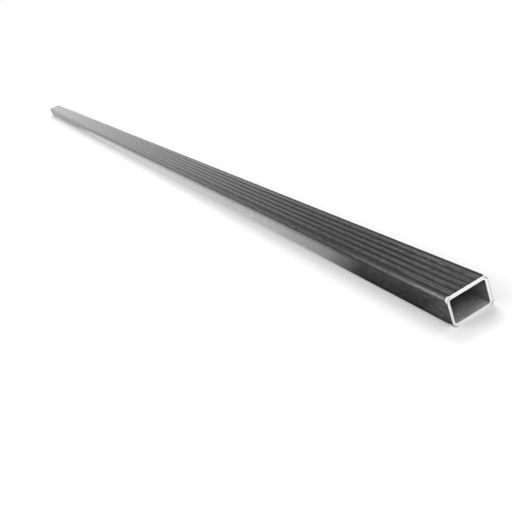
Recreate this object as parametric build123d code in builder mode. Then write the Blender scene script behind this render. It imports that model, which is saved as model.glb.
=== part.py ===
from build123d import *

import os
from math import isclose

# Roof rack crossbar: a welded rectangular steel tube inside a ribbed plastic coating.
# The bar lies along X, as it does across a roof, with its ribbed face up.
# The origin is under the middle of the bar, on the face that rests on the feet.

# Driving dimensions, in millimetres

bar_length = 1980.0  # both pieces are sawn off together, so the ends are flush

tube_width = 30.0  # outside of the steel tube, along Y
tube_height = 20.0  # outside of the steel tube, along Z
tube_wall = 1.5
tube_corner_radius = 3.0  # outside of the tube's rolled corners

weld_bead_width = 2.4  # flash left by the seam weld, along the roof of the hollow
weld_bead_height = 0.35
deburr = 0.2  # chamfer round the mouth of the hollow at each end

side_coating = 1.0  # plastic on the two sides
bottom_coating = 0.5  # plastic underneath
top_coating = 1.9  # plastic on top, up to the crown of the ribs
top_corner_radius = 4.5

groove_count = 6
groove_width = 1.8  # across the mouth, before its lips are rounded
groove_depth = 0.8
groove_lip_radius = 0.3
outer_groove_overlap = 0.8  # how far the outer grooves lie past the start of the top corners

# Derived dimensions

hollow_width = tube_width - 2 * tube_wall
hollow_height = tube_height - 2 * tube_wall
hollow_corner_radius = tube_corner_radius - tube_wall
tube_centre_height = bottom_coating + tube_height / 2
hollow_roof_height = bottom_coating + tube_height - tube_wall

bar_width = tube_width + 2 * side_coating
bar_height = bottom_coating + tube_height + top_coating
bottom_corner_radius = tube_corner_radius + bottom_coating

groove_radius = (groove_width**2 / 4 + groove_depth**2) / (2 * groove_depth)
groove_axis_height = bar_height - groove_depth + groove_radius
groove_span = bar_width - 2 * (top_corner_radius - outer_groove_overlap)
groove_pitch = groove_span / (groove_count - 1)

left_end = Plane.YZ.offset(-bar_length / 2)

# Steel tube: one strip, rolled to a rectangle and welded along the middle of its top wall

with BuildPart() as steel_tube:
    with BuildSketch(left_end) as tube_section:
        with Locations((0, tube_centre_height)):
            RectangleRounded(tube_width, tube_height, tube_corner_radius)
            RectangleRounded(hollow_width, hollow_height, hollow_corner_radius, mode=Mode.SUBTRACT)
    extrude(amount=bar_length)

    # The sawn ends are deburred round the mouth of the hollow
    end_faces = steel_tube.faces().filter_by(Axis.X)
    mouth_edges = [edge for face in end_faces for edge in face.inner_wires().edges()]
    chamfer(mouth_edges, length=deburr)

    # The bead's upper half is in the wall, and it stops where the deburred mouth starts
    with BuildSketch(left_end.offset(deburr)) as weld_section:
        with Locations((0, hollow_roof_height)):
            Ellipse(weld_bead_width / 2, weld_bead_height)
    extrude(amount=bar_length - 2 * deburr)

steel_tube.part.label = "steel_tube"

# Ribbed coating: plastic moulded round the tube, thin below and thick above

with BuildPart() as ribbed_coating:
    with BuildSketch(left_end) as coating_section:
        with Locations((0, bar_height / 2)):
            Rectangle(bar_width, bar_height)
        fillet(coating_section.vertices().group_by(Axis.Y)[0], radius=bottom_corner_radius)
        fillet(coating_section.vertices().group_by(Axis.Y)[-1], radius=top_corner_radius)

        # The grooves are arcs along the top, and the outer two lie where the corners start to turn
        with Locations((0, groove_axis_height)):
            with GridLocations(groove_pitch, 0, groove_count, 1):
                Circle(groove_radius, mode=Mode.SUBTRACT)
        arcs = coating_section.edges().filter_by(GeomType.CIRCLE)
        groove_floors = arcs.filter_by(lambda arc: isclose(arc.radius, groove_radius))
        fillet(groove_floors.vertices(), radius=groove_lip_radius)

        with Locations((0, tube_centre_height)):
            RectangleRounded(tube_width, tube_height, tube_corner_radius, mode=Mode.SUBTRACT)
    extrude(amount=bar_length)

ribbed_coating.part.label = "ribbed_coating"

# Files, one for each piece

os.makedirs("parts", exist_ok=True)
export_step(steel_tube.part, "parts/steel_tube.step")
export_step(ribbed_coating.part, "parts/ribbed_coating.step")
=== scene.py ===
"""Looks of a roof rack crossbar: a steel tube in a ribbed black coating, in a plain white studio.

The bar lies along X with its ribbed face up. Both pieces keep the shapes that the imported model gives
them. This script finishes their surfaces, and sets up the floor, the lamps, a board and a bright patch of
sky that show in gloss alone, and the camera.
"""

import logging
import math
from dataclasses import dataclass
from enum import Enum

import bpy
from mathutils import Matrix, Vector


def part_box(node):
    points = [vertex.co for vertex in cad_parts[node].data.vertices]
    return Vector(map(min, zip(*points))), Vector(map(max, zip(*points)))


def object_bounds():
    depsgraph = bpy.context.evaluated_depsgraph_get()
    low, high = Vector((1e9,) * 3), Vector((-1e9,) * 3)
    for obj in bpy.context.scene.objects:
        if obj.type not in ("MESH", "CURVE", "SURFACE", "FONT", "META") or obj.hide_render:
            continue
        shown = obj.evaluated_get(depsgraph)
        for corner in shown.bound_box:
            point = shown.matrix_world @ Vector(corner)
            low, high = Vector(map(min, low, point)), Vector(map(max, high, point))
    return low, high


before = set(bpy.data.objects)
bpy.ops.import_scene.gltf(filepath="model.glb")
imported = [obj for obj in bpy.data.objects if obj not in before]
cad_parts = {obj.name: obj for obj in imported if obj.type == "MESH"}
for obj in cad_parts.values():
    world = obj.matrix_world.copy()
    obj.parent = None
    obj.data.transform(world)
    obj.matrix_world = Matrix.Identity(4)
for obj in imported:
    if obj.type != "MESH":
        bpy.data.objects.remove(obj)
packed_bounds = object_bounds()

MM = 0.001

NOISE = (0.3, 0.7)  # where noise about 0.5 lies, but for its peaks
WIDE_NOISE = (0.25, 0.75)

log = logging.getLogger("crossbar")

Socket = bpy.types.NodeSocket
Number = float | Socket
Span = tuple[Number, Number]
Curve = tuple[tuple[float, float], ...]
Triple = tuple[float, float, float]


class Ray(Enum):
    """Kinds of light path that a studio surface tells apart."""

    CAMERA = "Is Camera Ray"
    GLOSSY = "Is Glossy Ray"
    TRANSMISSION = "Is Transmission Ray"


class Wiring:
    """Adds nodes and links to one node tree."""

    def __init__(self, tree: bpy.types.NodeTree) -> None:
        """Starts on a tree.

        Args:
            tree: the node tree that gets the nodes.
        """
        self.tree = tree

    def node(self, kind: str, **settings: object) -> bpy.types.Node:
        """Adds a node.

        Args:
            kind: the node's type, such as "ShaderNodeMath".
            settings: properties to set on it.

        Returns:
            The new node.
        """
        made = self.tree.nodes.new(kind)
        for name, value in settings.items():
            setattr(made, name, value)
        return made

    def feed(self, target: Socket, source: object) -> None:
        """Links a socket to an input, or sets the input to a plain value.

        Args:
            target: the input socket.
            source: an output socket, a number, or a tuple of numbers.
        """
        if isinstance(source, bpy.types.NodeSocket):
            self.tree.links.new(source, target)
        else:
            target.default_value = source

    def math(self, operation: str, *values: Number, clamp: bool = False) -> Socket:
        """Adds a Math node.

        Args:
            operation: the node's operation, such as "MULTIPLY".
            values: its inputs, in order.
            clamp: whether the result is kept from 0 to 1.

        Returns:
            Its output.
        """
        made = self.node("ShaderNodeMath", operation=operation, use_clamp=clamp)
        for target, value in zip(made.inputs, values):
            self.feed(target, value)
        return made.outputs["Value"]

    def vector_math(self, operation: str, *values: Socket | Triple) -> Socket:
        """Adds a Vector Math node.

        Args:
            operation: the node's operation, such as "MULTIPLY".
            values: its inputs, in order.

        Returns:
            Its output, a vector, or a value for a dot product.
        """
        made = self.node("ShaderNodeVectorMath", operation=operation)
        for target, value in zip(made.inputs, values):
            self.feed(target, value)
        return made.outputs["Value" if operation == "DOT_PRODUCT" else "Vector"]

    def combine(self, x: Number, y: Number, z: Number) -> Socket:
        """Joins three numbers to a vector.

        Args:
            x: the first number or socket.
            y: the second one.
            z: the third one.

        Returns:
            The vector.
        """
        made = self.node("ShaderNodeCombineXYZ")
        for target, value in zip(made.inputs, (x, y, z)):
            self.feed(target, value)
        return made.outputs["Vector"]

    def separate(self, vector: Socket) -> tuple[Socket, Socket, Socket]:
        """Splits a vector.

        Args:
            vector: the vector to split.

        Returns:
            Its X, Y and Z.
        """
        made = self.node("ShaderNodeSeparateXYZ")
        self.feed(made.inputs["Vector"], vector)
        return made.outputs["X"], made.outputs["Y"], made.outputs["Z"]

    def times(self, first: Number, *others: Number) -> Number:
        """Multiplies numbers.

        Args:
            first: a number or socket.
            others: what it is multiplied by.

        Returns:
            The product.
        """
        for other in others:
            first = self.math("MULTIPLY", first, other)
        return first

    def scale_range(self, value: Number, span: Span, to: Span = (0.0, 1.0)) -> Socket:
        """Carries a value from one range to another, without leaving the second.

        Args:
            value: the number or socket to carry.
            span: where the first range starts and ends.
            to: what its start and its end become.

        Returns:
            The carried value.
        """
        made = self.node("ShaderNodeMapRange", clamp=True)
        names = ("Value", "From Min", "From Max", "To Min", "To Max")
        for name, number in zip(names, (value, *span, *to)):
            self.feed(made.inputs[name], number)
        return made.outputs["Result"]

    def ramp(self, value: Socket, points: Curve) -> Socket:
        """Reads a curve made of straight pieces, level before its first point and after its last.

        Args:
            value: where the curve is read.
            points: its points in order, each a place and the height there.

        Returns:
            The height at the value.
        """
        height: Number = points[0][1]
        for (start, low), (end, high) in zip(points, points[1:]):
            step = self.scale_range(value, (start, end), (0.0, high - low))
            height = self.math("ADD", height, step)
        return height

    def noise(self, vector: Socket, detail: float, roughness: float = 0.5, scale: Number = 1.0) -> Socket:
        """Adds smooth noise.

        Args:
            vector: where it is read.
            detail: how many finer octaves it has.
            roughness: how strong the finer octaves are.
            scale: how many features to a unit of that vector.

        Returns:
            A value about 0.5.
        """
        made = self.node("ShaderNodeTexNoise")
        inputs = {"Vector": vector, "Scale": scale, "Detail": detail, "Roughness": roughness}
        for name, value in inputs.items():
            self.feed(made.inputs[name], value)
        return made.outputs["Fac"]

    def mix_number(self, share: Number, first: Number, second: Number) -> Socket:
        """Blends two numbers.

        Args:
            share: 0 for the first, 1 for the second.
            first: the first number or socket.
            second: the second one.

        Returns:
            The blended number.
        """
        made = self.node("ShaderNodeMix", data_type="FLOAT")
        for name, value in (("Factor", share), ("A", first), ("B", second)):
            self.feed(made.inputs[name], value)
        return made.outputs["Result"]

    def mix_colour(self, share: Number, first: Socket | Triple, second: Socket | Triple) -> Socket:
        """Blends two colours.

        Args:
            share: 0 for the first, 1 for the second.
            first: a socket, or red, green and blue.
            second: the other colour.

        Returns:
            The blended colour.
        """
        made = self.node("ShaderNodeMix", data_type="RGBA")
        by_kind = {socket.identifier: socket for socket in made.inputs}
        self.feed(by_kind["Factor_Float"], share)
        for name, colour in (("A_Color", first), ("B_Color", second)):
            linked = isinstance(colour, bpy.types.NodeSocket)
            self.feed(by_kind[name], colour if linked else (*colour, 1.0))
        return next(socket for socket in made.outputs if socket.identifier == "Result_Color")

    def bump(self, height: Socket, distance: float) -> Socket:
        """Turns a height into a normal.

        Args:
            height: the height, where 1 stands for distance.
            distance: that height's real size in metres.

        Returns:
            The normal.
        """
        made = self.node("ShaderNodeBump")
        self.feed(made.inputs["Strength"], 1.0)
        self.feed(made.inputs["Height"], height)
        self.feed(made.inputs["Distance"], distance)
        return made.outputs["Normal"]


class Effect:
    """A shader node group, built once and shared by the materials.

    It has a Vector, and the named inputs and outputs.
    """

    name: str
    inputs: dict[str, float]
    outputs: tuple[str, ...]

    def tree(self) -> bpy.types.NodeTree:
        """Finds the group's tree, or builds it the first time.

        Returns:
            The tree.
        """
        found = bpy.data.node_groups.get(self.name)
        if found is not None:
            return found
        made = bpy.data.node_groups.new(self.name, "ShaderNodeTree")
        made.interface.new_socket("Vector", in_out="INPUT", socket_type="NodeSocketVector")
        for name, value in self.inputs.items():
            socket = made.interface.new_socket(name, in_out="INPUT", socket_type="NodeSocketFloat")
            socket.default_value = value
        for name in self.outputs:
            made.interface.new_socket(name, in_out="OUTPUT", socket_type="NodeSocketFloat")
        wiring = Wiring(made)
        entry = wiring.node("NodeGroupInput")
        leave = wiring.node("NodeGroupOutput")
        for name, socket in self.wire(wiring, entry.outputs).items():
            wiring.feed(leave.inputs[name], socket)
        return made

    def wire(self, wiring: Wiring, entry: bpy.types.NodeOutputs) -> dict[str, Socket]:
        """Builds the effect's nodes.

        Args:
            wiring: the group's tree.
            entry: the group's inputs, by name.

        Returns:
            A socket for each output, by name.
        """
        raise NotImplementedError


class DrawnLines(Effect):
    """Fine lines along the bar, as a die or rolls leave them."""

    name = "drawn_lines"
    inputs = {"Width": 0.4 * MM, "Length": 300 * MM}
    outputs = ("Lines",)
    detail = 3.0
    roughness = 0.6

    def wire(self, wiring: Wiring, entry: bpy.types.NodeOutputs) -> dict[str, Socket]:
        """Reads noise that is stretched along X.

        Args:
            wiring: the group's tree.
            entry: Vector in metres, and a line's Width and Length.

        Returns:
            Lines, about 0.5.
        """
        across = wiring.math("DIVIDE", 1.0, entry["Width"])
        along = wiring.math("DIVIDE", 1.0, entry["Length"])
        scale = wiring.combine(along, across, across)
        stretched = wiring.vector_math("MULTIPLY", entry["Vector"], scale)
        return {"Lines": wiring.noise(stretched, self.detail, self.roughness)}


class SawCut(Effect):
    """The sawn faces at the two ends of the bar, with the marks of the blade."""

    name = "saw_cut"
    inputs = {"Half Length": 1.0, "Depth": 0.02 * MM, "Pitch": 0.45 * MM, "Slant": 0.2}
    outputs = ("Face", "Marks")
    stretch = 0.02
    detail = 4.0
    roughness = 0.65

    def wire(self, wiring: Wiring, entry: bpy.types.NodeOutputs) -> dict[str, Socket]:
        """Finds the cut by its place along X, and draws straight marks over it.

        Args:
            wiring: the group's tree.
            entry: Vector in metres, the bar's Half Length, the Depth that counts as cut, and the marks'
                Pitch and Slant.

        Returns:
            Face, 1 on a cut, and Marks, about 0.5.
        """
        x, _, _ = wiring.separate(entry["Vector"])
        start = wiring.math("SUBTRACT", entry["Half Length"], entry["Depth"])
        face = wiring.math("GREATER_THAN", wiring.math("ABSOLUTE", x), start)
        turned = wiring.node("ShaderNodeVectorRotate", rotation_type="X_AXIS")
        wiring.feed(turned.inputs["Vector"], entry["Vector"])
        wiring.feed(turned.inputs["Angle"], entry["Slant"])
        across = wiring.math("DIVIDE", 1.0, entry["Pitch"])
        scale = wiring.combine(1.0, across, wiring.times(across, self.stretch))
        stretched = wiring.vector_math("MULTIPLY", turned.outputs["Vector"], scale)
        return {"Face": face, "Marks": wiring.noise(stretched, self.detail, self.roughness)}


class Mottle(Effect):
    """Slow changes of tone and gloss over a surface."""

    name = "mottle"
    inputs = {"Size": 20 * MM}
    outputs = ("Tone",)
    detail = 4.0

    def wire(self, wiring: Wiring, entry: bpy.types.NodeOutputs) -> dict[str, Socket]:
        """Reads even noise.

        Args:
            wiring: the group's tree.
            entry: Vector in metres, and a patch's Size.

        Returns:
            Tone, about 0.5.
        """
        scale = wiring.math("DIVIDE", 1.0, entry["Size"])
        return {"Tone": wiring.noise(entry["Vector"], self.detail, scale=scale)}


class Scuffs(Effect):
    """Short light scratches from handling."""

    name = "scuffs"
    inputs = {"Angle": 0.1, "Length": 12 * MM, "Width": 0.25 * MM, "Rarity": 0.7}
    outputs = ("Scratch",)
    axis = (0.0, 0.7, 0.7)
    detail = 1.0
    roughness = 0.4
    edge = 0.06

    def wire(self, wiring: Wiring, entry: bpy.types.NodeOutputs) -> dict[str, Socket]:
        """Keeps only the peaks of noise that is stretched along a slanting line.

        Args:
            wiring: the group's tree.
            entry: Vector in metres, the scratches' Angle to X, their Length and Width, and Rarity, which
                keeps fewer of them as it grows.

        Returns:
            Scratch, 1 in a scratch and 0 elsewhere.
        """
        turned = wiring.node("ShaderNodeVectorRotate", rotation_type="AXIS_ANGLE")
        turned.inputs["Axis"].default_value = self.axis
        wiring.feed(turned.inputs["Vector"], entry["Vector"])
        wiring.feed(turned.inputs["Angle"], entry["Angle"])
        across = wiring.math("DIVIDE", 1.0, entry["Width"])
        along = wiring.math("DIVIDE", 1.0, entry["Length"])
        scale = wiring.combine(along, across, across)
        stretched = wiring.vector_math("MULTIPLY", turned.outputs["Vector"], scale)
        peaks = wiring.noise(stretched, self.detail, self.roughness)
        sure = wiring.math("ADD", entry["Rarity"], self.edge)
        return {"Scratch": wiring.scale_range(peaks, (entry["Rarity"], sure))}


class OutlineDepth(Effect):
    """How far a point of the section lies inside a rounded rectangle that is centred on the bar."""

    name = "outline_depth"
    inputs = {"Half Width": 16 * MM, "Low": 0.0, "High": 22 * MM, "Radius": 4 * MM}
    outputs = ("Depth",)

    def wire(self, wiring: Wiring, entry: bpy.types.NodeOutputs) -> dict[str, Socket]:
        """Works out the distance to the outline from the distances to its straight sides.

        Args:
            wiring: the group's tree.
            entry: Vector in metres, the outline's Half Width, Low and High edges, and corner Radius.

        Returns:
            Depth in metres, negative outside.
        """
        _, y, z = wiring.separate(entry["Vector"])
        middle = wiring.times(wiring.math("ADD", entry["Low"], entry["High"]), 0.5)
        half_height = wiring.math("SUBTRACT", entry["High"], middle)
        from_middle = wiring.math("ABSOLUTE", wiring.math("SUBTRACT", z, middle))
        beside = wiring.math("SUBTRACT", wiring.math("ABSOLUTE", y), entry["Half Width"])
        beside = wiring.math("ADD", beside, entry["Radius"])
        above = wiring.math("SUBTRACT", from_middle, half_height)
        above = wiring.math("ADD", above, entry["Radius"])
        out, up = wiring.math("MAXIMUM", beside, 0.0), wiring.math("MAXIMUM", above, 0.0)
        length = wiring.node("ShaderNodeVectorMath", operation="LENGTH")
        wiring.feed(length.inputs[0], wiring.combine(out, up, 0.0))
        inside = wiring.math("MINIMUM", wiring.math("MAXIMUM", beside, above), 0.0)
        outside = wiring.math("ADD", length.outputs["Value"], inside)
        outside = wiring.math("SUBTRACT", outside, entry["Radius"])
        return {"Depth": wiring.times(outside, -1.0)}


class SurfaceWiring(Wiring):
    """Adds nodes to a material, and knows where each surface point lies, in metres."""

    def __init__(self, tree: bpy.types.NodeTree) -> None:
        """Starts on a tree.

        Args:
            tree: the node tree that gets the nodes.
        """
        super().__init__(tree)
        self.place = self.node("ShaderNodeTexCoord").outputs["Object"]
        self.x, self.y, self.z = self.separate(self.place)
        self.aside = self.math("ABSOLUTE", self.y)

    def effect(self, group: Effect, **values: object) -> bpy.types.NodeOutputs:
        """Places a shared effect.

        Args:
            group: the effect.
            values: its inputs, by name, with _ for a space.

        Returns:
            Its outputs, by name.
        """
        made = self.node("ShaderNodeGroup", node_tree=group.tree())
        self.feed(made.inputs["Vector"], self.place)
        for name, value in values.items():
            self.feed(made.inputs[name.replace("_", " ")], value)
        return made.outputs

    def lines(self, size: Span) -> Socket:
        """Draws lines, about 0.5, of a width and length in metres."""
        return self.effect(DrawnLines(), Width=size[0], Length=size[1])["Lines"]

    def patches(self, size: float) -> Socket:
        """Draws patches, about 0.5, of a size in metres."""
        return self.effect(Mottle(), Size=size)["Tone"]

    def from_end(self, half_length: float) -> Socket:
        """Measures how far a point lies from the nearer end of a bar of this half length."""
        return self.math("SUBTRACT", half_length, self.math("ABSOLUTE", self.x))

    def upper_corners(self, out: Span, up: Span) -> Socket:
        """Finds the two upper corners of the section.

        Args:
            out: how far from the middle a corner starts to count, and from where it counts in full.
            up: the same for its height.

        Returns:
            1 on a corner and 0 elsewhere.
        """
        return self.times(self.scale_range(self.aside, out), self.scale_range(self.z, up))


def new_material(
    name: str, kind: str = "ShaderNodeBsdfPrincipled"
) -> tuple[bpy.types.Material, SurfaceWiring, bpy.types.Node]:
    """Makes a material with one bare shader.

    Args:
        name: the material's name.
        kind: the shader node's type.

    Returns:
        The material, its wiring and the shader.
    """
    made = bpy.data.materials.new(name)
    made.use_nodes = True
    made.node_tree.nodes.clear()
    wiring = SurfaceWiring(made.node_tree)
    shader = wiring.node(kind)
    output = wiring.node("ShaderNodeOutputMaterial")
    wiring.feed(output.inputs["Surface"], shader.outputs[0])
    return made, wiring, shader


@dataclass(frozen=True)
class Outline:
    """A rounded rectangle in the bar's section, in metres."""

    half_width: float
    low: float
    high: float
    radius: float

    @classmethod
    def around(cls, node: str, radius: float) -> "Outline":
        """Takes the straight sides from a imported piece's box.

        Args:
            node: the piece's name.
            radius: the outline's corner radius in metres.

        Returns:
            The outline.
        """
        low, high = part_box(node)
        return cls((high.y - low.y) / 2, low.z, high.z, radius)

    def below_top(self, depths: Span) -> Span:
        """Turns two depths below the upper edge into heights."""
        return self.high - depths[0], self.high - depths[1]

    def depth(self, wiring: SurfaceWiring) -> Socket:
        """Measures how far a surface point lies inside the outline.

        Args:
            wiring: the material's wiring.

        Returns:
            The depth in metres, negative outside.
        """
        sides = {"Half_Width": self.half_width, "Low": self.low, "High": self.high}
        return wiring.effect(OutlineDepth(), Radius=self.radius, **sides)["Depth"]


@dataclass(frozen=True)
class BlackCoatingFinish:
    """Satin black plastic with fine lines along it, pale under its skin where it is sawn.

    Lines, grain and smudges are given as a width and a length, and curves by the distance from the end.
    """

    half_length: float
    outline: Outline
    tube: Outline

    black: Triple = (0.008, 0.008, 0.0082)
    streaked: Triple = (0.028, 0.028, 0.0285)
    # grey of the scratches, also used for the painted highlight on the top corners
    scratch_and_highlight_grey: Triple = (0.12, 0.12, 0.12)
    lines: Span = (0.5 * MM, 400 * MM)
    fine_lines: Span = (0.12 * MM, 90 * MM)
    grain: Span = (1.5 * MM, 4.5 * MM)
    tone_size: float = 35 * MM
    grain_in_streaks: float = 0.6
    streaks: Span = (0.37, 0.67)
    scratch_share: float = 0.25
    # painted highlight on the top corners: its strength by the distance from the end, and where it lies
    painted_highlight_fade: Curve = ((20 * MM, 0.36), (60 * MM, 0.2), (140 * MM, 0.0))
    painted_highlight_out: Span = (13.8 * MM, 14.6 * MM)
    painted_highlight_below_top: Span = (4.4 * MM, 3.2 * MM)

    satin_tone: Span = (0.35, 0.65)
    satin_roughness: Span = (0.1, 0.17)
    sawn_roughness: float = 0.6
    scuffed: Curve = ((20 * MM, 0.26), (100 * MM, 0.16), (600 * MM, 0.0))
    corner_out: Span = (12.4 * MM, 13.2 * MM)
    corner_below_top: Span = (4.0 * MM, 3.2 * MM)
    fine_share: float = 0.4
    scratch_depth: float = 0.5
    relief: float = 0.015 * MM
    ior: float = 1.5
    anisotropy: float = 0.5
    specular: float = 0.22
    polish_ior: float = 1.6
    polish_roughness: float = 0.15
    polish_gain: float = 1.2

    groove_spacing: float = 4.92 * MM
    groove_depth: float = 0.8 * MM
    groove_gloss: float = 0.42
    groove_contrast: Curve = ((150 * MM, 1.0), (700 * MM, 0.4))
    crown_edge: Span = (0.7 * MM, 1.9 * MM)
    ribbed_reach: float = 2.7  # in groove spacings
    ribbed_depth: float = 1.5  # in groove depths
    ribbed_gloss: float = 0.64
    rubbed_side: Span = (6.5 * MM, 8.5 * MM)
    rubbed_side_gain: float = 1.22
    patch_size: float = 5 * MM
    patch_gain: Span = (0.8, 1.2)
    side_below_top: Span = (5.5 * MM, 3.5 * MM)
    mean_gloss: float = 0.54
    grain_share: float = 0.62
    evened: Curve = ((80 * MM, 0.0), (120 * MM, 0.6))
    rubbed_corner: Span = (15 * MM, 60 * MM)
    rubbed_end: float = 0.95
    smudges: Span = (2.2 * MM, 14 * MM)
    smudge_share: float = 0.6
    smudged_top: float = 0.65
    smudged: Curve = ((70 * MM, 1.0), (110 * MM, 0.15))

    scraped: Span = (0.7 * MM, 1.2 * MM)
    # partly painted light: widens the pale reach low on the corners, over their contact shade
    scraped_low_and_shade_lift_gain: float = 3.0
    scraped_edge: Span = (-0.2 * MM, 0.2 * MM)
    scraped_side: float = 1.2 * MM
    scraped_below_top: float = 3.6 * MM
    scraped_low: float = 3.0 * MM

    sawn: Triple = (0.9, 0.9, 0.9)
    smeared: Triple = (0.7, 0.7, 0.7)
    sawn_tone: Span = (0.75, 1.0)
    smeared_side: Span = (-13.0 * MM, -11.0 * MM)
    smeared_floor: Span = (1.5 * MM, 3.5 * MM)
    skin_colour: Triple = (0.022, 0.022, 0.0225)
    skin: float = 0.6 * MM
    skin_edge: Span = (-0.08 * MM, 0.08 * MM)
    skin_start: Span = (1.0 * MM, 3.0 * MM)
    bare_side: float = 1.0 * MM
    rim_out: Span = (12.0 * MM, 13.2 * MM)
    rim_below_top: Span = (2.6 * MM, 1.6 * MM)
    seam: Triple = (0.12, 0.12, 0.12)
    seam_edge: Span = (0.1 * MM, 0.25 * MM)
    corner_seam_edge: Span = (0.3 * MM, 0.5 * MM)
    seam_share: float = 0.1

    def material(self) -> bpy.types.Material:
        """Builds the finish.

        Returns:
            The material.
        """
        made, wiring, shader = new_material("satin_black_plastic")
        lines = wiring.lines(self.lines)
        grain = wiring.lines(self.grain)
        tone = wiring.patches(self.tone_size)
        scratch = wiring.effect(Scuffs())["Scratch"]
        cut = wiring.effect(SawCut(), Half_Length=self.half_length)
        on_cut, marks = cut["Face"], cut["Marks"]

        streak = wiring.mix_number(self.grain_in_streaks, lines, grain)
        streak = wiring.scale_range(streak, self.streaks)
        surface = wiring.mix_colour(streak, self.black, self.streaked)
        faint = wiring.times(scratch, self.scratch_share)
        surface = wiring.mix_colour(faint, surface, self.scratch_and_highlight_grey)
        # painted highlight: the top corners near the ends are greyed to widen their highlight
        surface = wiring.mix_colour(self.painted_corner_highlight(wiring), surface, self.scratch_and_highlight_grey)
        surface = wiring.mix_colour(self.scraped_corner(wiring, tone), surface, self.smeared)
        face = self.sawn_face(wiring, marks)
        wiring.feed(shader.inputs["Base Color"], wiring.mix_colour(on_cut, surface, face))

        polish = wiring.math("SUBTRACT", self.gloss(wiring, grain), self.specular)
        polish = wiring.math("MULTIPLY", polish, self.polish_gain, clamp=True)
        wiring.feed(shader.inputs["Coat Weight"], wiring.mix_number(on_cut, polish, 0.0))
        satin = wiring.mix_number(0.5, lines, tone)
        satin = wiring.scale_range(satin, self.satin_tone, self.satin_roughness)
        scuffed = wiring.ramp(wiring.from_end(self.half_length), self.scuffed)
        scuffed = wiring.times(self.top_corner(wiring), scuffed)
        satin = wiring.math("ADD", satin, scuffed)
        roughness = wiring.mix_number(on_cut, satin, self.sawn_roughness)
        wiring.feed(shader.inputs["Roughness"], roughness)

        fine = wiring.lines(self.fine_lines)
        height = wiring.math("ADD", lines, wiring.times(fine, self.fine_share))
        height = wiring.math("SUBTRACT", height, wiring.times(scratch, self.scratch_depth))
        height = wiring.mix_number(on_cut, height, marks)
        wiring.feed(shader.inputs["Normal"], wiring.bump(height, self.relief))

        shader.inputs["IOR"].default_value = self.ior
        shader.inputs["Specular IOR Level"].default_value = self.specular
        shader.inputs["Coat IOR"].default_value = self.polish_ior
        shader.inputs["Coat Roughness"].default_value = self.polish_roughness
        shader.inputs["Anisotropic"].default_value = self.anisotropy
        round_bar = wiring.node("ShaderNodeTangent", direction_type="RADIAL", axis="X")
        wiring.feed(shader.inputs["Tangent"], round_bar.outputs["Tangent"])
        return made

    def gloss(self, wiring: SurfaceWiring, grain: Socket) -> Socket:
        """Works out how strongly the plastic mirrors.

        The ribs, the grain, smudges and the rubbed corners change it. The side is more even away from
        the ends.

        Args:
            wiring: the material's wiring.
            grain: the plastic's grain, about 0.5.

        Returns:
            The gloss, on the scale of a specular level.
        """
        from_end = wiring.from_end(self.half_length)
        side_top = self.outline.below_top(self.side_below_top)
        on_side = wiring.scale_range(wiring.z, side_top, (1.0, 0.0))

        lowest = self.mean_gloss * (1 - self.grain_share)
        highest = self.mean_gloss * (1 + self.grain_share)
        grain = wiring.scale_range(grain, WIDE_NOISE, (lowest, highest))
        evened = wiring.times(on_side, wiring.ramp(from_end, self.evened))
        grain = wiring.mix_number(evened, grain, self.mean_gloss)

        rubbed = wiring.scale_range(from_end, self.rubbed_corner, (self.rubbed_end, 1.0))
        rubbed = wiring.mix_number(self.top_corner(wiring), 1.0, rubbed)

        smudge = wiring.lines(self.smudges)
        gain = (1 - self.smudge_share, 1 + self.smudge_share)
        smudge = wiring.scale_range(smudge, WIDE_NOISE, gain)
        handled = wiring.mix_number(on_side, self.smudged_top, 1.0)
        handled = wiring.times(handled, wiring.ramp(from_end, self.smudged))
        smudge = wiring.mix_number(handled, 1.0, smudge)
        return wiring.times(self.rib_gloss(wiring), smudge, rubbed, grain)

    def rib_gloss(self, wiring: SurfaceWiring) -> Socket:
        """Keeps the gloss for the crowns, as nothing rubs the grooves and their lips smooth.

        Args:
            wiring: the material's wiring.

        Returns:
            The share of the gloss that is left, 1 away from the ribs.
        """
        from_crown = wiring.math("PINGPONG", wiring.y, self.groove_spacing / 2)
        crown = wiring.scale_range(from_crown, self.crown_edge, (1.0, self.groove_gloss))
        rubbed_side = wiring.scale_range(wiring.y, self.rubbed_side, (1.0, self.rubbed_side_gain))
        patches = wiring.patches(self.patch_size)
        patches = wiring.scale_range(patches, NOISE, self.patch_gain)
        crown = wiring.times(crown, rubbed_side, patches)
        from_end = wiring.from_end(self.half_length)
        contrast = wiring.ramp(from_end, self.groove_contrast)
        crown = wiring.mix_number(contrast, self.ribbed_gloss, crown)

        ribbed = wiring.math("LESS_THAN", wiring.aside, self.groove_spacing * self.ribbed_reach)
        floor = self.outline.high - self.ribbed_depth * self.groove_depth
        on_top = wiring.math("GREATER_THAN", wiring.z, floor)
        return wiring.mix_number(wiring.times(ribbed, on_top), 1.0, crown)

    def top_corner(self, wiring: SurfaceWiring) -> Socket:
        """Finds the two rounded top corners, which handling scuffs near the ends and rubs dull.

        Args:
            wiring: the material's wiring.

        Returns:
            1 on a corner and 0 elsewhere.
        """
        up = self.outline.below_top(self.corner_below_top)
        return wiring.upper_corners(self.corner_out, up)

    def painted_corner_highlight(self, wiring: SurfaceWiring) -> Socket:
        """Paints a grey highlight on the outer part of the two top corners near the ends, fading with the
        distance from the end.

        Args:
            wiring: the material's wiring.

        Returns:
            How strong the painted highlight is, from 0 to 1.
        """
        up = self.outline.below_top(self.painted_highlight_below_top)
        edge = wiring.upper_corners(self.painted_highlight_out, up)
        from_end = wiring.from_end(self.half_length)
        return wiring.times(edge, wiring.ramp(from_end, self.painted_highlight_fade))

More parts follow.
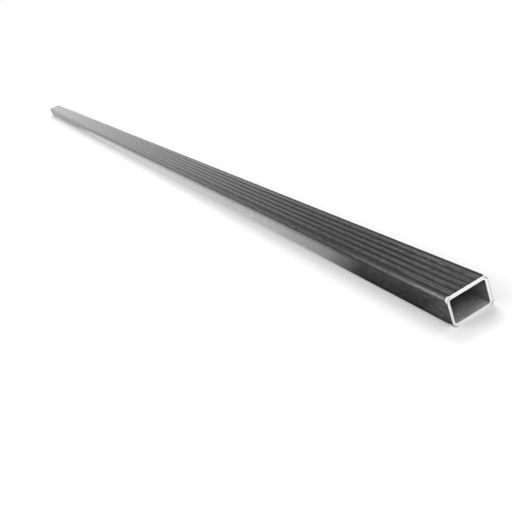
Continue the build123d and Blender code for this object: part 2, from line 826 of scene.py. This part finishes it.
    def scraped_corner(self, wiring: SurfaceWiring, tone: Socket) -> Socket:
        """Finds where deburring scraped the black skin off the corners of a cut. Low down it reaches
        further, partly as painted light that lifts the contact shade under the rounded lower corners.

        Args:
            wiring: the material's wiring.
            tone: patches that make the scraped edge uneven.

        Returns:
            1 where the pale core shows and 0 elsewhere.
        """
        side = self.tube.half_width - self.scraped_side
        corner = wiring.math("GREATER_THAN", wiring.aside, side)
        high = wiring.math("GREATER_THAN", wiring.z, self.outline.high - self.scraped_below_top)
        low = wiring.math("LESS_THAN", wiring.z, self.scraped_low)
        reach = wiring.scale_range(tone, NOISE, self.scraped)
        # partly painted light: the low reach is widened to lift the contact shade under the lower corners
        reach = wiring.times(reach, wiring.mix_number(low, 1.0, self.scraped_low_and_shade_lift_gain))
        from_end = wiring.from_end(self.half_length)
        past = wiring.math("SUBTRACT", from_end, reach)
        close = wiring.scale_range(past, self.scraped_edge, (1.0, 0.0))
        return wiring.times(close, corner, wiring.math("MAXIMUM", high, low))

    def sawn_face(self, wiring: SurfaceWiring, marks: Socket) -> Socket:
        """Colours the cut: a black skin, a pale core, and a thin seam where the coating meets the tube.

        Args:
            wiring: the material's wiring.
            marks: the saw marks, about 0.5.

        Returns:
            The colour.
        """
        corner = wiring.upper_corners(self.rim_out, self.tube.below_top(self.rim_below_top))
        far_side = wiring.math("GREATER_THAN", wiring.y, self.tube.half_width - self.bare_side)
        start, full = self.skin_start
        above_floor = wiring.scale_range(wiring.z, (self.tube.low + start, self.tube.low + full))
        skin = wiring.times(above_floor, wiring.mix_number(far_side, self.skin, 0.0))
        skin = wiring.times(skin, wiring.math("SUBTRACT", 1.0, corner))
        depth = wiring.math("SUBTRACT", self.outline.depth(wiring), skin)
        pale = wiring.scale_range(depth, self.skin_edge)

        off_tube = wiring.times(self.tube.depth(wiring), -1.0)
        ends = zip(self.seam_edge, self.corner_seam_edge)
        inner, outer = (wiring.mix_number(corner, plain, wide) for plain, wide in ends)
        seam = wiring.scale_range(off_tube, (inner, outer), (1.0, 0.0))
        seam = wiring.times(seam, wiring.mix_number(corner, self.seam_share, 1.0))

        bright = wiring.scale_range(marks, NOISE, self.sawn_tone)
        core = wiring.mix_colour(bright, self.smeared, self.sawn)
        left = wiring.scale_range(wiring.y, self.smeared_side, (1.0, 0.0))
        low_left = wiring.times(left, wiring.scale_range(wiring.z, self.smeared_floor, (1.0, 0.0)))
        core = wiring.mix_colour(wiring.math("MAXIMUM", low_left, far_side), core, self.smeared)
        face = wiring.mix_colour(pale, self.skin_colour, core)
        return wiring.mix_colour(seam, face, self.seam)


@dataclass(frozen=True)
class TubeSteelFinish:
    """Rolled steel: dull and grey inside the tube, with painted shade deep in the hollow and on its
    walls, tinted along the weld, bright where it is sawn.
    """

    half_length: float
    tube: Outline

    mill: Triple = (0.8, 0.8, 0.805)
    stained: Triple = (0.5, 0.5, 0.505)
    # grey of the painted shade inside the hollow
    hollow_shade_colour: Triple = (0.22, 0.22, 0.223)
    # dark heat tint along the weld, also the painted shade high on the hollow's walls
    heat_tint_and_shade_colour: Triple = (0.05, 0.053, 0.06)
    rolled_lines: Span = (0.8 * MM, 250 * MM)
    tone_size: float = 9 * MM
    stains: Span = (0.4, 0.62)
    dull_roughness: Span = (0.5, 0.65)
    dull_metallic: float = 0.35
    relief: float = 0.03 * MM

    sawn: Triple = (0.93, 0.93, 0.935)
    scored: Triple = (0.84, 0.84, 0.84)
    smeared: Triple = (0.8, 0.8, 0.8)
    cut_depth: float = 0.18 * MM
    sawn_tone: Span = (0.7, 1.0)
    blade_exit: Span = (-13.6 * MM, -12.6 * MM)
    sawn_roughness: Span = (0.38, 0.5)
    sawn_metallic: float = 0.25

    # painted shade in the hollow: where it starts and where it is full, from the mouths
    painted_shade_reach: float = 20 * MM
    painted_shade_start: float = 2 * MM
    wall: float = 1.5 * MM
    # painted shade along the hollow's side walls
    painted_wall_shade: Span = (1.0 * MM, 0.1 * MM)
    painted_wall_shade_share: float = 0.95

    weld_side: Span = (1.2 * MM, 4.5 * MM)
    weld_share: float = 0.8
    roof_reach: float = 3.0 * MM
    wall_reach: float = 2.3 * MM
    # painted shade high on the hollow's walls: where it starts and where it is full, below the roof
    painted_upper_wall_shade: Span = (8.0 * MM, 2.5 * MM)
    painted_upper_wall_shade_share: float = 0.85

    def material(self) -> bpy.types.Material:
        """Builds the finish.

        Returns:
            The material.
        """
        made, wiring, shader = new_material("rolled_steel")
        rolled = wiring.lines(self.rolled_lines)
        tone = wiring.patches(self.tone_size)
        cut = wiring.effect(SawCut(), Half_Length=self.half_length, Depth=self.cut_depth)
        on_cut, marks = cut["Face"], cut["Marks"]

        stain = wiring.scale_range(wiring.mix_number(0.5, rolled, tone), self.stains)
        inside = wiring.mix_colour(stain, self.mill, self.stained)
        # painted shade: darker deeper in the hollow and along its side walls
        inside = wiring.mix_colour(self.painted_hollow_shade(wiring, tone), inside, self.hollow_shade_colour)
        # heat tint along the weld, and painted shade high on the hollow's walls
        inside = wiring.mix_colour(self.weld_tint_and_wall_shade(wiring), inside, self.heat_tint_and_shade_colour)
        face_tone = wiring.scale_range(marks, NOISE, self.sawn_tone)
        face = wiring.mix_colour(face_tone, self.scored, self.sawn)
        smear = wiring.scale_range(wiring.y, self.blade_exit, (1.0, 0.0))
        face = wiring.mix_colour(smear, face, self.smeared)
        wiring.feed(shader.inputs["Base Color"], wiring.mix_colour(on_cut, inside, face))
        metallic = wiring.mix_number(on_cut, self.dull_metallic, self.sawn_metallic)
        wiring.feed(shader.inputs["Metallic"], metallic)

        dull = wiring.scale_range(tone, NOISE, self.dull_roughness)
        bright = wiring.scale_range(marks, NOISE, self.sawn_roughness)
        wiring.feed(shader.inputs["Roughness"], wiring.mix_number(on_cut, dull, bright))

        height = wiring.mix_number(on_cut, rolled, marks)
        wiring.feed(shader.inputs["Normal"], wiring.bump(height, self.relief))
        return made

    def painted_hollow_shade(self, wiring: SurfaceWiring, tone: Socket) -> Socket:
        """Paints shade into the hollow, growing from a few millimetres inside its mouths, and along its
        side walls.

        Args:
            wiring: the material's wiring.
            tone: patches that make the edge of the painted shade uneven.

        Returns:
            1 where the shade is painted in full and 0 where the steel is left bright.
        """
        uneven = wiring.scale_range(tone, NOISE, (-self.painted_shade_start, self.painted_shade_start))
        in_deep = wiring.math("ADD", wiring.from_end(self.half_length), uneven)
        deep = wiring.scale_range(in_deep, (self.painted_shade_start, self.painted_shade_reach))
        inner = self.tube.half_width - self.wall
        start, full = self.painted_wall_shade
        by_wall = (inner - start, inner - full)
        wall = wiring.scale_range(wiring.aside, by_wall, (0.0, self.painted_wall_shade_share))
        return wiring.math("MAXIMUM", deep, wall)

    def weld_tint_and_wall_shade(self, wiring: SurfaceWiring) -> Socket:
        """Finds the dark tint on the roof of the hollow along the weld, and the painted shade high on its
        walls.

        Args:
            wiring: the material's wiring.

        Returns:
            How dark it is, from 0 to 1.
        """
        near = wiring.scale_range(wiring.aside, self.weld_side, (self.weld_share, 0.0))
        roof = wiring.math("GREATER_THAN", wiring.z, self.tube.high - self.roof_reach)
        wall = wiring.math("GREATER_THAN", wiring.aside, self.tube.half_width - self.wall_reach)
        below_roof = self.tube.below_top(self.painted_upper_wall_shade)
        tint = wiring.scale_range(wiring.z, below_roof, (0.0, self.painted_upper_wall_shade_share))
        return wiring.math("MAXIMUM", wiring.times(near, roof), wiring.times(wall, tint))


@dataclass(frozen=True)
class PaleFloorFinish:
    """Matt white floor that reads as plain white in the picture, with the bar's soft shadow on it."""

    colour: Triple = (0.87, 0.87, 0.87)
    roughness: float = 0.9
    lift: float = 0.14

    def material(self) -> bpy.types.Material:
        """Builds the finish.

        Returns:
            The material.
        """
        made, wiring, shader = new_material("pale_floor")
        shader.inputs["Base Color"].default_value = (*self.colour, 1.0)
        shader.inputs["Roughness"].default_value = self.roughness
        shader.inputs["Specular IOR Level"].default_value = 0.0
        shader.inputs["Emission Color"].default_value = (1.0, 1.0, 1.0, 1.0)
        seen = seen_by(wiring, Ray.CAMERA, Ray.GLOSSY, Ray.TRANSMISSION)
        wiring.feed(shader.inputs["Emission Strength"], wiring.times(seen, self.lift))
        return made


@dataclass(frozen=True)
class ReflectorFinish:
    """A glowing board beside the bar, with a bright strip that starts past the near end and tapers off.

    Its curves run by the distance from the near end, and end_share by the distance from the bar's side.
    """

    near_end: float
    side: float
    fade: float = 3.6 * MM
    strip_width: Curve = (
        (0.3, 11.2 * MM),
        (0.9, 8.5 * MM),
        (1.3, 7.0 * MM),
        (1.42, 4.0 * MM),
        (1.55, -4.0 * MM),
    )
    strip_glow: Curve = (
        (0.115, 0.17),
        (0.17, 1.29),
        (0.28, 1.72),
        (0.475, 1.6),
        (0.8, 1.3),
        (1.15, 1.15),
        (1.4, 0.88),
    )
    strip_start: Span = (0.105, 0.125)
    board_glow: Curve = ((0.1, 0.22), (0.3, 0.35), (1.2, 0.44), (1.5, 0.55), (1.9, 0.58))
    end_glow: Curve = ((0.02, 0.58), (0.035, 0.19), (0.07, 0.17), (0.115, 0.2))
    end_share: Curve = ((2 * MM, 0.2), (6 * MM, 0.9), (11 * MM, 1.0), (14 * MM, 1.7))
    under_reach: float = 0.6 * MM
    under_share: Curve = ((0.12, 0.4), (0.35, 0.5), (0.6, 0.85))

    def material(self) -> bpy.types.Material:
        """Builds the finish.

        Returns:
            The material.
        """
        made, wiring, glow = new_material("side_reflector", "ShaderNodeEmission")
        from_end = wiring.math("SUBTRACT", self.near_end, wiring.x)
        from_side = wiring.math("SUBTRACT", self.side, wiring.y)

        past_strip = wiring.math("SUBTRACT", from_side, wiring.ramp(from_end, self.strip_width))
        off_strip = wiring.scale_range(past_strip, (0.0, self.fade))
        strip = wiring.ramp(from_end, self.strip_glow)
        far = wiring.mix_number(off_strip, strip, wiring.ramp(from_end, self.board_glow))
        near = wiring.ramp(from_end, self.end_glow)
        near = wiring.times(near, wiring.ramp(from_side, self.end_share))
        past_end = wiring.scale_range(from_end, self.strip_start)
        under = wiring.scale_range(from_side, (0.0, self.under_reach), (1.0, 0.0))
        share = wiring.mix_number(under, 1.0, wiring.ramp(from_end, self.under_share))
        strength = wiring.times(wiring.mix_number(past_end, near, far), share)
        wiring.feed(glow.inputs["Strength"], strength)
        return made


def seen_by(wiring: Wiring, *rays: Ray) -> Socket:
    """Tells some kinds of ray from the rest.

    Args:
        wiring: the tree that gets the nodes.
        rays: the kinds of ray.

    Returns:
        A value of 1 for those rays and 0 for others.
    """
    path = wiring.node("ShaderNodeLightPath")
    total = path.outputs[rays[0].value]
    for ray in rays[1:]:
        total = wiring.math("MAXIMUM", total, path.outputs[ray.value])
    return total


@dataclass
class SteelTube:
    """The welded rectangular tube that carries the load."""

    node: str = "steel_tube"
    corner_radius: float = 3.0 * MM

    def outline(self) -> Outline:
        """Returns the outside of the tube's section."""
        return Outline.around(self.node, self.corner_radius)

    def dress(self) -> None:
        """Gives the tube its rolled and sawn steel."""
        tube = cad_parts[self.node]
        _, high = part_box(self.node)
        finish = TubeSteelFinish(half_length=high.x, tube=self.outline())
        tube.material_slots[0].material = finish.material()
        log.info("%s: %d faces, dressed", self.node, len(tube.data.polygons))


@dataclass
class RibbedCoating:
    """The black plastic round the tube, ribbed on top."""

    tube: SteelTube
    node: str = "ribbed_coating"
    corner_radius: float = 4.5 * MM

    def dress(self) -> None:
        """Gives the coating its satin black, and its pale sawn ends."""
        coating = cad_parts[self.node]
        _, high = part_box(self.node)
        outline = Outline.around(self.node, self.corner_radius)
        finish = BlackCoatingFinish(half_length=high.x, outline=outline, tube=self.tube.outline())
        coating.material_slots[0].material = finish.material()
        log.info("%s: %d faces, dressed", self.node, len(coating.data.polygons))


@dataclass(frozen=True)
class SoftLamp:
    """A soft upright lamp that points at the near end of the bar."""

    name: str
    from_end: Triple
    width: float
    height: float
    watts: float

    def add(self, near_end: Vector) -> None:
        """Adds the lamp to the scene.

        Args:
            near_end: the middle of the bar's near end.
        """
        light = bpy.data.lights.new(self.name, "AREA")
        light.shape = "RECTANGLE"
        light.size = self.width
        light.size_y = self.height
        light.energy = self.watts
        lamp = bpy.data.objects.new(self.name, light)
        lamp.location = near_end + Vector(self.from_end)
        lamp.rotation_euler = (-Vector(self.from_end)).to_track_quat("-Z", "Y").to_euler()
        lamp.visible_camera = False
        bpy.context.scene.collection.objects.link(lamp)
        log.info("lamp %s: %g W", self.name, self.watts)


@dataclass(frozen=True)
class DistantLamp:
    """A wide lamp far away that lights the whole floor alike, and doesn't show in gloss."""

    name: str
    toward: Triple
    spread: float
    strength: float

    def add(self, near_end: Vector) -> None:
        """Adds the lamp to the scene.

        Args:
            near_end: the middle of the bar's near end, over which the lamp is drawn.
        """
        light = bpy.data.lights.new(self.name, "SUN")
        light.angle = math.radians(self.spread)
        light.energy = self.strength
        lamp = bpy.data.objects.new(self.name, light)
        lamp.location = near_end + Vector(self.toward)
        lamp.rotation_euler = (-Vector(self.toward)).to_track_quat("-Z", "Y").to_euler()
        lamp.visible_glossy = False
        bpy.context.scene.collection.objects.link(lamp)
        log.info("lamp %s: %g", self.name, self.strength)


@dataclass
class Studio:
    """The pale floor, the reflector, the lamps, the white surroundings and the camera."""

    floor_side: float = 60.0
    surround_strength: float = 0.66
    ceiling_strength: float = 0.565
    ceiling_rise: Span = (0.2, 0.4)
    glow_toward: Triple = (-0.715, 0.473, 0.515)
    glow_edge: Span = (0.985, 0.999)
    glow_strength: float = 0.45
    lamps: tuple[SoftLamp | DistantLamp, ...] = (
        DistantLamp("key", (-0.62, 0.36, 0.7), 30.0, 1.2),
        DistantLamp("front", (0.95, 0.12, 0.2), 30.0, 0.78),
        DistantLamp("fill", (-0.35, -0.8, 0.5), 34.0, 0.6),
        SoftLamp("edge", (-0.83, -0.79, 0.36), 0.26, 0.95, 3.2),
    )
    reflector_length: float = 3.0
    reflector_width: float = 0.4
    reflector_height: float = 0.3 * MM
    reflector_past_end: float = 0.4
    reflector_under_bar: float = 1.2 * MM
    camera_from_end: Triple = (0.29198, -0.19343, 0.23349)
    heading: float = 74.444
    pitch: float = -23.287
    roll: float = -22.053
    lens: float = 46.569
    sensor: float = 36.0
    clip: Span = (0.01, 200.0)

    def build(self) -> None:
        """Adds everything around the bar."""
        low, high = packed_bounds
        near_end = Vector((high.x, (low.y + high.y) / 2, low.z))
        self.add_floor()
        self.add_reflector(near_end, low.y)
        self.add_surroundings()
        for lamp in self.lamps:
            lamp.add(near_end)
        self.add_camera(near_end)

    def add_floor(self) -> None:
        """Adds the floor, level with the face that the bar rests on."""
        bpy.ops.object.select_all(action="DESELECT")
        bpy.ops.mesh.primitive_plane_add(size=self.floor_side)
        floor = bpy.context.object
        floor.name = "floor"
        floor.data.materials.append(PaleFloorFinish().material())
        log.info("floor: %g m square", self.floor_side)

    def add_reflector(self, near_end: Vector, side: float) -> None:
        """Lays a board beside the bar that only shows in its gloss.

        Args:
            near_end: the middle of the bar's near end.
            side: where the bar's side face is, along Y.
        """
        bpy.ops.object.select_all(action="DESELECT")
        bpy.ops.mesh.primitive_plane_add(size=1.0)
        board = bpy.context.object
        board.name = "side_reflector"
        x = near_end.x - self.reflector_length / 2 + self.reflector_past_end
        y = side - self.reflector_width / 2 + self.reflector_under_bar
        size = (self.reflector_length, self.reflector_width, 1.0, 1.0)
        place = Matrix.Translation((x, y, self.reflector_height))
        board.data.transform(place @ Matrix.Diagonal(size))
        board.data.materials.append(ReflectorFinish(near_end=near_end.x, side=side).material())
        board.visible_camera = False
        board.visible_diffuse = False
        board.visible_transmission = False
        board.visible_shadow = False
        log.info("side reflector: %g m long", self.reflector_length)

    def add_surroundings(self) -> None:
        """Makes the world white where it is seen, dimmer overhead in gloss, and dimmer as a light."""
        world = bpy.data.worlds.new("white_surroundings")
        bpy.context.scene.world = world
        world.use_nodes = True
        world.node_tree.nodes.clear()
        wiring = Wiring(world.node_tree)
        glow = wiring.node("ShaderNodeBackground")
        output = wiring.node("ShaderNodeOutputWorld")
        wiring.feed(output.inputs["Surface"], glow.outputs["Background"])
        glow.inputs["Color"].default_value = (1.0, 1.0, 1.0, 1.0)
        toward = wiring.node("ShaderNodeTexCoord").outputs["Generated"]
        _, _, up = wiring.separate(toward)
        mirrored = wiring.scale_range(up, self.ceiling_rise, (1.0, self.ceiling_strength))
        aim = wiring.vector_math("DOT_PRODUCT", toward, self.glow_toward)
        patch = wiring.scale_range(aim, self.glow_edge, (0.0, self.glow_strength))
        mirrored = wiring.math("ADD", mirrored, patch)
        in_gloss = seen_by(wiring, Ray.GLOSSY, Ray.TRANSMISSION)
        unseen = wiring.mix_number(in_gloss, self.surround_strength, mirrored)
        strength = wiring.mix_number(seen_by(wiring, Ray.CAMERA), unseen, 1.0)
        wiring.feed(glow.inputs["Strength"], strength)

    def add_camera(self, near_end: Vector) -> None:
        """Adds the camera.

        Args:
            near_end: the middle of the bar's near end.
        """
        camera = bpy.data.objects.new("camera", bpy.data.cameras.new("camera"))
        camera.data.lens = self.lens
        camera.data.sensor_width = self.sensor
        turn = Matrix.Rotation(math.radians(self.heading), 4, "Z")
        tilt = Matrix.Rotation(math.radians(90 + self.pitch), 4, "X")
        roll = Matrix.Rotation(math.radians(self.roll), 4, "Z")
        place = Matrix.Translation(near_end + Vector(self.camera_from_end))
        camera.matrix_world = place @ turn @ tilt @ roll
        camera.data.clip_start, camera.data.clip_end = self.clip
        bpy.context.scene.collection.objects.link(camera)
        bpy.context.scene.camera = camera


def main() -> None:
    """Dresses the bar and sets up the studio."""
    logging.basicConfig(level=logging.INFO, format="%(name)s: %(message)s")
    bpy.context.scene.view_settings.view_transform = "Standard"
    tube = SteelTube()
    tube.dress()
    RibbedCoating(tube).dress()
    Studio().build()


if __name__ == "__main__":
    main()
